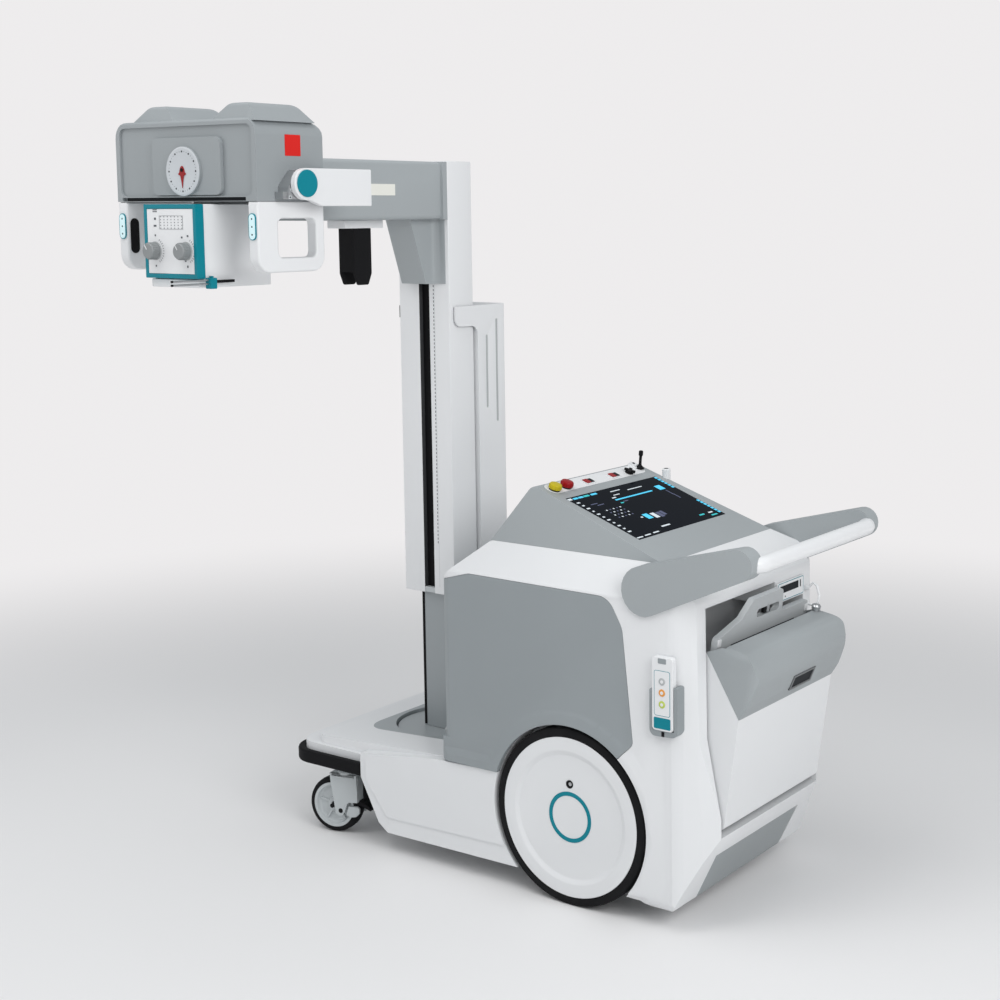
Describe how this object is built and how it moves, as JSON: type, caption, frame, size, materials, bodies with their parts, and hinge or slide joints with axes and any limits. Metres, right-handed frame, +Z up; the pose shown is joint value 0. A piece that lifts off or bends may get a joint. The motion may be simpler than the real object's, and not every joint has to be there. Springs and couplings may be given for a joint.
{
  "type": "portable x-ray machine",
  "caption": "Mobile x-ray machine on rear wheels and front casters, with a turning mast, sliding arm, tilting tube head with collimator, sloped console, push handle and rear detector bin",
  "frame": {"origin": "middle of the footprint, on the floor", "axes": "+Z up, +X towards the push handle at the rear, -Y towards the machine's left, where the arm points"},
  "size_m": [1.47, 1.268, 1.885],
  "materials": {
    "white_shell": "smooth satin white enamel",
    "grey_cladding": "fine satin grey",
    "grey_paint": "smooth satin light grey enamel",
    "white_plastic": "semi-gloss white",
    "black_rubber": "matt black rubber",
    "black_tyre": "worn matt black tread",
    "steel": "fine brushed",
    "screen_glass": "dark glossy display",
    "signal_red": "glossy red",
    "black_plastic": "matt black",
    "teal_plastic": "satin teal",
    "detector_grey": "satin pale grey"
  },
  "bodies": {
    "chassis": {"chassis_base": "white_shell", "bumper": "black_rubber", "deck_tray": "grey_paint", "body_shell": "white_shell", "left_cladding": "grey_cladding", "right_cladding": "grey_cladding", "console": "grey_cladding", "screen": "screen_glass", "control_strip": "white_plastic", "console_buttons": "signal_red", "console_switches": "black_plastic", "handle_pads": "grey_cladding", "handle_bar": "white_plastic", "kick_panel": "grey_cladding", "reader_plate": "white_plastic", "remote_holder": "grey_cladding", "remote": "white_plastic", "rear_axle": "steel", "bin_hinge": "steel"},
    "left_wheel": {"wheel_left": "white_plastic", "tyre_left": "black_tyre"},
    "right_wheel": {"wheel_right": "white_plastic", "tyre_right": "black_tyre"},
    "left_fork": {"caster_fork_left": "steel"},
    "right_fork": {"caster_fork_right": "steel"},
    "left_caster": {"caster_hub_left": "white_plastic", "caster_tyre_left": "black_tyre"},
    "right_caster": {"caster_hub_right": "white_plastic", "caster_tyre_right": "black_tyre"},
    "mast": {"turntable": "grey_paint", "inner_column": "grey_paint", "tower_cover": "white_shell"},
    "column": {"outer_column": "white_shell", "column_stop": "black_rubber"},
    "arm": {"carriage": "grey_paint", "fork_mount": "white_shell", "docking_fork": "black_rubber"},
    "beam": {"arm_beam": "steel"},
    "yoke_arm": {"yoke": "white_shell", "yoke_cap": "teal_plastic"},
    "tube_head": {"head_housing": "grey_cladding", "head_dial": "grey_cladding", "head_grips": "white_plastic", "head_pads": "screen_glass", "trunnion": "steel"},
    "light_box": {"collimator": "white_plastic", "collimator_frame": "teal_plastic", "collimator_face": "white_plastic", "collimator_knobs": "grey_cladding", "ruler": "teal_plastic"},
    "bin": {"bin_front": "white_shell", "bin_hood": "grey_cladding", "bin_window": "screen_glass", "detector": "detector_grey"}
  },
  "joints": [
    {"name": "left_wheel_roll", "type": "hinge", "parent": "chassis", "child": "left_wheel", "pos_m": [0.213, 0.051, 0.2175], "axis": [0, 1, 0], "continuous": true},
    {"name": "right_wheel_roll", "type": "hinge", "parent": "chassis", "child": "right_wheel", "pos_m": [0.213, 0.601, 0.2175], "axis": [0, 1, 0], "continuous": true},
    {"name": "mast_turn", "type": "hinge", "parent": "chassis", "child": "mast", "pos_m": [-0.424, 0.326, 0.2], "axis": [0, 0, 1], "range_deg": [-180, 0]},
    {"name": "column_lift", "type": "slide", "parent": "mast", "child": "column", "axis": [0, 0, 1], "range_m": [-0.32, 0]},
    {"name": "carriage_slide", "type": "slide", "parent": "column", "child": "arm", "axis": [0, 0, 1], "range_m": [-0.78, 0]},
    {"name": "arm_extend", "type": "slide", "parent": "arm", "child": "beam", "axis": [0, -1, 0], "range_m": [0, 0.25]},
    {"name": "head_roll", "type": "hinge", "parent": "beam", "child": "yoke_arm", "pos_m": [-0.424, -0.197, 1.703], "axis": [0, 1, 0], "range_deg": [-90, 90]},
    {"name": "head_tilt", "type": "hinge", "parent": "yoke_arm", "child": "tube_head", "pos_m": [-0.187, -0.405, 1.711], "axis": [-1, 0, 0], "range_deg": [-15, 90]},
    {"name": "collimator_turn", "type": "hinge", "parent": "tube_head", "child": "light_box", "pos_m": [-0.424, -0.407, 1.668], "axis": [0, 0, 1], "range_deg": [-45, 45]},
    {"name": "bin_tilt", "type": "hinge", "parent": "chassis", "child": "bin", "pos_m": [0.55418, 0.326, 0.26144], "axis": [0, 1, 0], "range_deg": [-8.2, 12]},
    {"name": "left_caster_swivel", "type": "hinge", "parent": "chassis", "child": "left_fork", "pos_m": [-0.562, 0.086, 0.19], "axis": [0, 0, 1], "continuous": true},
    {"name": "left_caster_roll", "type": "hinge", "parent": "left_fork", "child": "left_caster", "pos_m": [-0.59917, 0.0781, 0.075], "axis": [-0.2079, 0.9781, 0], "continuous": true},
    {"name": "right_caster_swivel", "type": "hinge", "parent": "chassis", "child": "right_fork", "pos_m": [-0.562, 0.566, 0.19], "axis": [0, 0, 1], "continuous": true},
    {"name": "right_caster_roll", "type": "hinge", "parent": "right_fork", "child": "right_caster", "pos_m": [-0.59917, 0.5581, 0.075], "axis": [-0.2079, 0.9781, 0], "continuous": true}
  ]
}
